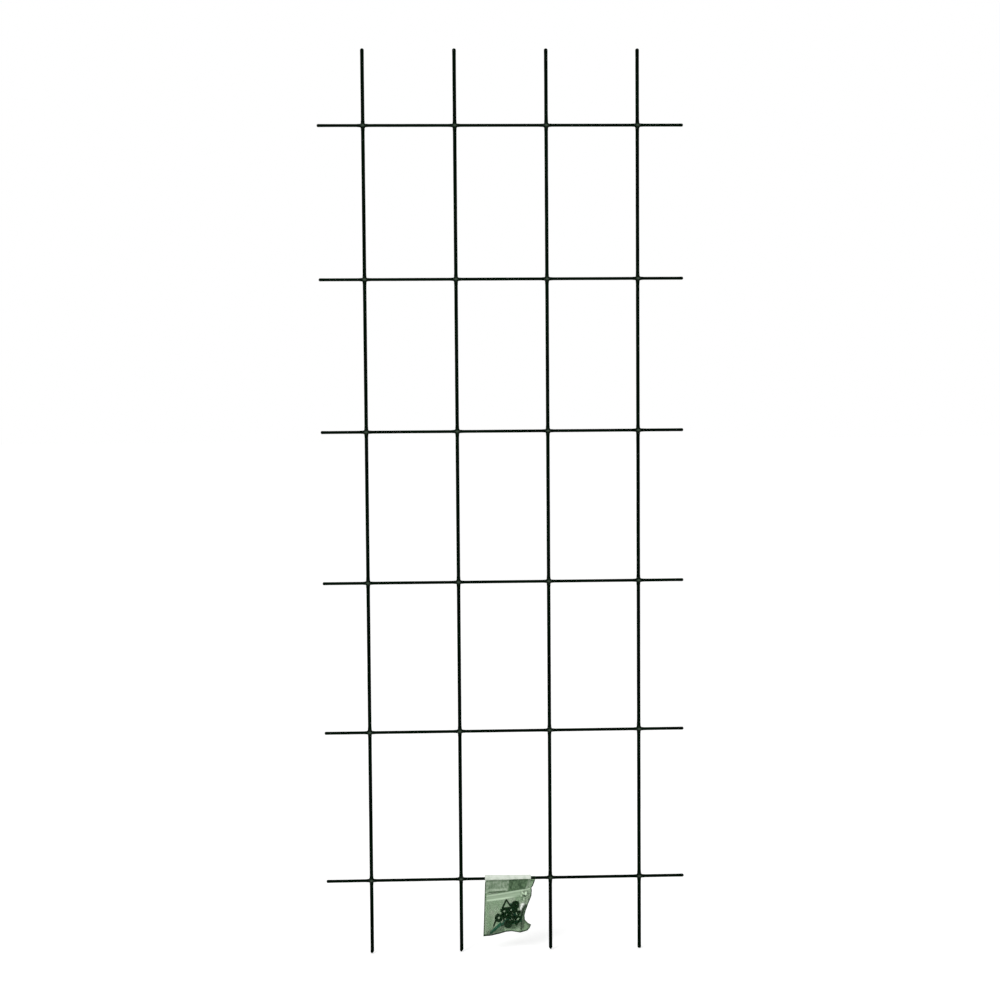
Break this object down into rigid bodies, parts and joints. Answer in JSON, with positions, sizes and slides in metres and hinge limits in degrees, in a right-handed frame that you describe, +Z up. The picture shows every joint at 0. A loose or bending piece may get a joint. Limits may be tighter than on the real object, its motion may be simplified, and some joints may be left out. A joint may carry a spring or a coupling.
{
  "type": "espalier frame",
  "caption": "Welded grid of green plastic-coated steel rods for training climbing plants against a wall, with a clear bag of wall fixings hung from its lowest rail.",
  "frame": {"origin": "on the wall plane that the backs of the uprights touch, midway across, level with the tips of the legs", "axes": "+Z up the uprights, +X along the rails to the right as seen from the front, +Y towards the wall"},
  "size_m": [0.6, 0.03, 1.4999],
  "materials": {
    "coating": "dark green dipped coating, slightly uneven, half gloss",
    "steel": "drawn wire",
    "weld": "fused",
    "film": "clear film with a green tint, creased",
    "tape": "white, smooth",
    "seal": "pale, half clear",
    "label": "bare, printed in plain pale green",
    "clip": "dark green, moulded",
    "screw": "blackened steel, slightly oily",
    "plug": "teal, moulded"
  },
  "bodies": {
    "frame": {"upright_core_1": "steel", "upright_core_2": "steel", "upright_core_3": "steel", "upright_core_4": "steel", "rail_core_1": "steel", "rail_core_2": "steel", "rail_core_3": "steel", "rail_core_4": "steel", "rail_core_5": "steel", "rail_core_6": "steel", "weld_nuggets": "weld", "upright_coating_1": "coating", "upright_coating_2": "coating", "upright_coating_3": "coating", "upright_coating_4": "coating", "rail_coating_1": "coating", "rail_coating_2": "coating", "rail_coating_3": "coating", "rail_coating_4": "coating", "rail_coating_5": "coating", "rail_coating_6": "coating", "crossing_webs_1": "coating", "crossing_webs_2": "coating", "crossing_webs_3": "coating", "crossing_webs_4": "coating", "crossing_webs_5": "coating", "crossing_webs_6": "coating"},
    "hanger": {"lip_loop": "film"},
    "bag": {"hanging_tape": "tape", "bag_front_film": "film", "bag_back_film": "film", "seal_rib": "seal", "seal_groove": "seal", "bag_label": "label", "wall_clip_1": "clip", "wall_clip_2": "clip", "wall_clip_3": "clip", "wall_clip_4": "clip", "screw_1": "screw", "screw_2": "screw", "screw_3": "screw", "screw_4": "screw", "wall_plug_1": "plug", "wall_plug_2": "plug", "wall_plug_3": "plug", "wall_plug_4": "plug"}
  },
  "joints": [
    {"name": "bag_slide", "type": "slide", "parent": "frame", "child": "hanger", "axis": [1, 0, 0], "range_m": [-0.025, 0.014]},
    {"name": "bag_swing", "type": "hinge", "parent": "hanger", "child": "bag", "pos_m": [0, -0.00725, 0.125], "axis": [1, 0, 0], "range_deg": [-85, 85]}
  ]
}
